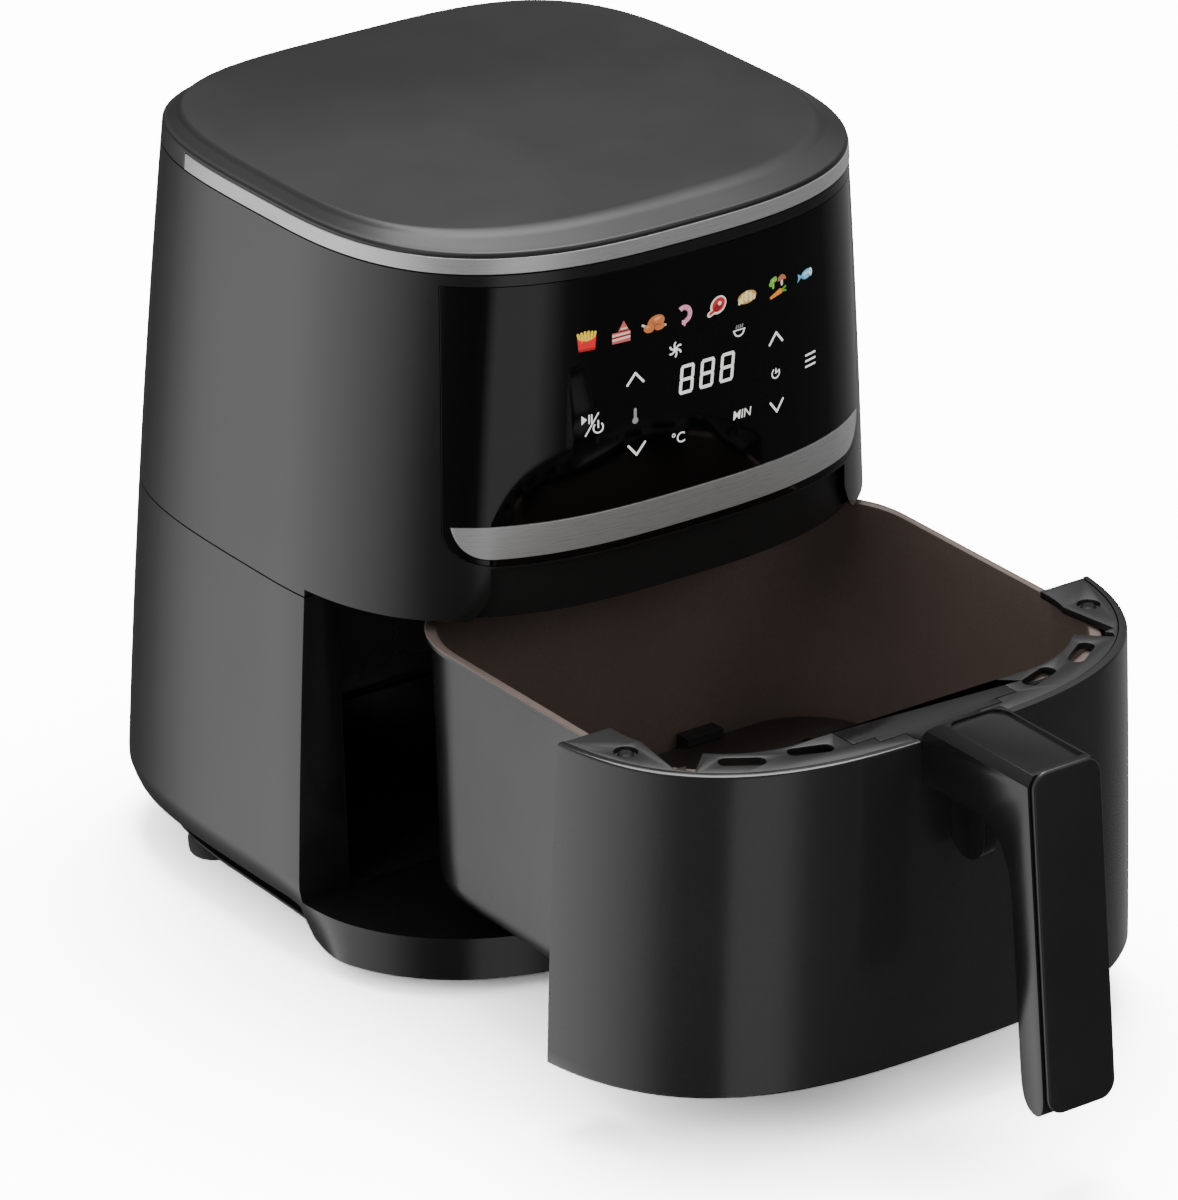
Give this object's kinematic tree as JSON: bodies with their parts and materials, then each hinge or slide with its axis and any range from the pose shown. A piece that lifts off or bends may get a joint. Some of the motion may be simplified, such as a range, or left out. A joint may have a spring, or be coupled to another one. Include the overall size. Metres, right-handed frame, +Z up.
{
  "type": "air fryer",
  "caption": "Basket air fryer: tapered body with a touch panel and silver trims, and a pulled-out drawer with a coated basket, slotted plate and bar handle.",
  "frame": {"origin": "on the table plane, under the middle of the overall box with the drawer pulled out", "axes": "+Z up, -Y out through the front, the way the drawer comes out, so Y is the longest extent; X runs across and is the shortest extent"},
  "size_m": [0.2694, 0.5094, 0.3175],
  "materials": {
    "housing_gloss": "gloss",
    "drawer_gloss": "gloss",
    "handle_gloss": "gloss",
    "cover_satin": "satin",
    "lid_satin": "satin",
    "panel_black": "gloss",
    "silver_trim": "satin plated",
    "black_matte": "matte",
    "inner_plastic": "moulded",
    "coated_metal": "dark non-stick coating",
    "silicone": "matte",
    "foot_rubber": "matte",
    "plated_steel": "plated sheet",
    "sheathed_element": "dull heat-tinted sheath",
    "fan_aluminium": "stamped",
    "motor_steel": "zinc plated",
    "screw_steel": "zinc plated",
    "white_ceramic": "fired ceramic",
    "board_green": "lacquered circuit board"
  },
  "bodies": {
    "housing": {"lower_housing": "housing_gloss", "bay_liner": "black_matte", "base_plate": "black_matte", "base_screw_1": "screw_steel", "base_screw_2": "screw_steel", "base_screw_3": "screw_steel", "base_screw_4": "screw_steel", "foot_rear_left": "foot_rubber", "foot_rear_right": "foot_rubber", "foot_front_left": "foot_rubber", "foot_front_right": "foot_rubber", "upper_housing": "housing_gloss", "arch_plate": "black_matte", "control_panel": "panel_black", "lower_trim": "silver_trim", "top_lid": "lid_satin", "top_trim": "silver_trim", "rear_grille": "black_matte", "cord_gland": "foot_rubber", "exhaust_duct": "inner_plastic", "chamber_liner": "plated_steel", "heat_shield": "plated_steel", "heating_element": "sheathed_element", "element_bushing": "white_ceramic", "fan_guard": "plated_steel", "motor_bracket": "plated_steel", "motor": "motor_steel", "thermal_cutout": "white_ceramic", "temperature_sensor": "plated_steel", "display_board": "board_green", "display_carrier": "inner_plastic", "power_board": "board_green", "door_switch": "inner_plastic"},
    "drawer": {"drawer_front": "drawer_gloss", "drawer_ring": "black_matte", "basket": "coated_metal", "handle_bracket": "black_matte", "handle_body": "handle_gloss", "handle_cover": "cover_satin", "ring_screw_1": "screw_steel", "ring_screw_2": "screw_steel", "handle_screw_1": "screw_steel", "handle_screw_2": "screw_steel"},
    "crisper": {"crisper_plate": "coated_metal", "plate_bumper_1": "silicone", "plate_bumper_2": "silicone", "plate_bumper_3": "silicone", "plate_bumper_4": "silicone"},
    "rotor": {"motor_shaft": "motor_steel", "convection_fan": "fan_aluminium", "cooling_fan": "inner_plastic"},
    "plunger": {"switch_plunger": "inner_plastic"}
  },
  "joints": [
    {"name": "drawer_slide", "type": "slide", "parent": "housing", "child": "drawer", "axis": [0, -1, 0], "range_m": [-0.1667, 0.02]},
    {"name": "plate_lift", "type": "slide", "parent": "drawer", "child": "crisper", "axis": [0, 0, 1], "range_m": [0, 0.085]},
    {"name": "fan_spin", "type": "hinge", "parent": "housing", "child": "rotor", "pos_m": [0, 0.1136, 0.21], "axis": [0, 0, 1], "continuous": true},
    {"name": "switch_press", "type": "slide", "parent": "housing", "child": "plunger", "axis": [0, 1, 0], "range_m": [0, 0.003], "stiffness_N_per_m": 150}
  ]
}
